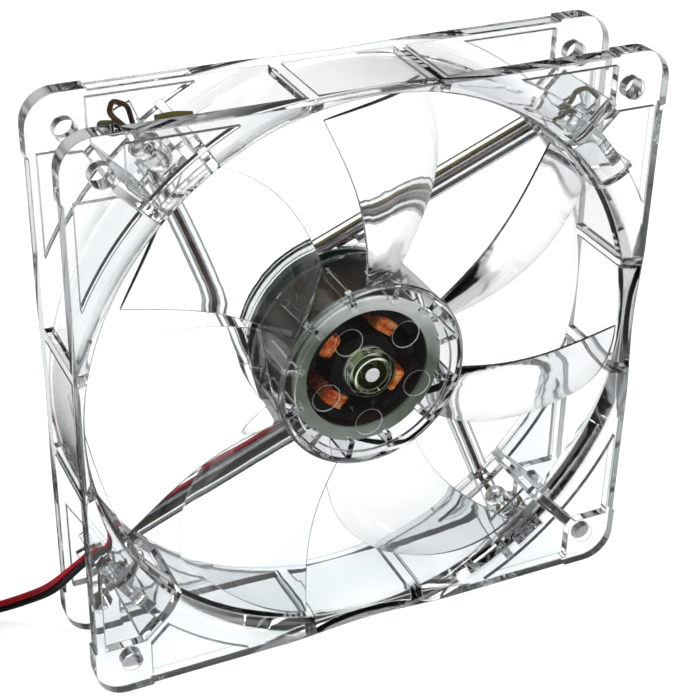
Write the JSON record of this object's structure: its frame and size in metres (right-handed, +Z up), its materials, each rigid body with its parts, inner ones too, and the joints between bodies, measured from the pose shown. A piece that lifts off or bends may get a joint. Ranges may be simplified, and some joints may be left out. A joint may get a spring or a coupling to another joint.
{
  "type": "case fan",
  "caption": "Square clear-plastic axial case fan with a seven-blade rotor on a motor hub, tangential struts, lamps at the corners and a two-core power lead.",
  "frame": {"origin": "centre of the fan's footprint on the surface it stands on, at the middle of its depth", "axes": "+Z up, +Y along the airflow from the open inlet side towards the strut side, +X to the right seen from the inlet side; the rotor axis is parallel to Y at Z 60 mm"},
  "size_m": [0.1687, 0.0488, 0.12],
  "materials": {
    "board": "dark green solder mask",
    "bobbin_plastic": "black, satin",
    "bronze": "sintered, oily, satin",
    "ceramic": "tan ceramic with bright ends",
    "chip_black": "black moulded package",
    "clear_frame": "clear, moulded and polished, with bright edges",
    "clear_impeller": "clear, moulded and polished",
    "copper": "enamelled winding wire, glossy",
    "felt": "oiled felt",
    "housing_black": "black moulded housing",
    "label_dark": "blank dark disc",
    "lamination": "stacked sheet edges",
    "lamp_resin": "water-clear cast resin",
    "lead_black": "black insulation, semi-gloss",
    "lead_pair": "red and black flat pair, semi-gloss",
    "lead_red": "red insulation, semi-gloss",
    "magnet": "dark brown bonded ferrite, satin",
    "nylon": "off-white, matt",
    "polished_steel": "ground and polished",
    "sleeve_black": "black shrink sleeve",
    "terminal_brass": "tin-plated brass",
    "tinned": "tinned wire",
    "tube_plastic": "dark olive, semi-gloss",
    "wire_brown": "dark brown insulation",
    "wire_olive": "olive insulation",
    "yoke_steel": "black, satin"
  },
  "bodies": {
    "housing": {"bearing_tube": "tube_plastic", "bobbin_front": "bobbin_plastic", "bobbin_rear": "bobbin_plastic", "capacitor": "ceramic", "circuit_board": "board", "coil_1": "copper", "coil_2": "copper", "coil_3": "copper", "coil_4": "copper", "connector_housing": "housing_black", "connector_terminals": "terminal_brass", "driver_chip": "chip_black", "end_cap": "tube_plastic", "frame": "clear_frame", "hall_sensor": "chip_black", "heat_shrink": "sleeve_black", "lamp_bl": "lamp_resin", "lamp_br": "lamp_resin", "lamp_legs_bl": "tinned", "lamp_legs_br": "tinned", "lamp_legs_tl": "tinned", "lamp_legs_tr": "tinned", "lamp_tl": "lamp_resin", "lamp_tr": "lamp_resin", "lead_black": "lead_black", "lead_coil": "lead_pair", "lead_free": "lead_pair", "lead_red": "lead_red", "lead_tail": "lead_pair", "oil_ring": "felt", "rear_label": "label_dark", "sleeve_bearing": "bronze", "stator_core": "lamination", "terminal_pins": "tinned", "thrust_washer": "nylon", "wire_brown_bl": "wire_brown", "wire_brown_br": "wire_brown", "wire_brown_tl": "wire_brown", "wire_brown_tr": "wire_brown", "wire_olive_bl": "wire_olive", "wire_olive_br": "wire_olive", "wire_olive_tl": "wire_olive", "wire_olive_tr": "wire_olive"},
    "rotor": {"impeller": "clear_impeller", "rotor_yoke": "yoke_steel", "magnet_ring": "magnet", "shaft": "polished_steel", "retaining_clip": "nylon"}
  },
  "joints": [
    {"name": "rotor_spin", "type": "hinge", "parent": "housing", "child": "rotor", "pos_m": [0, 0, 0.06], "axis": [0, 1, 0], "continuous": true}
  ]
}
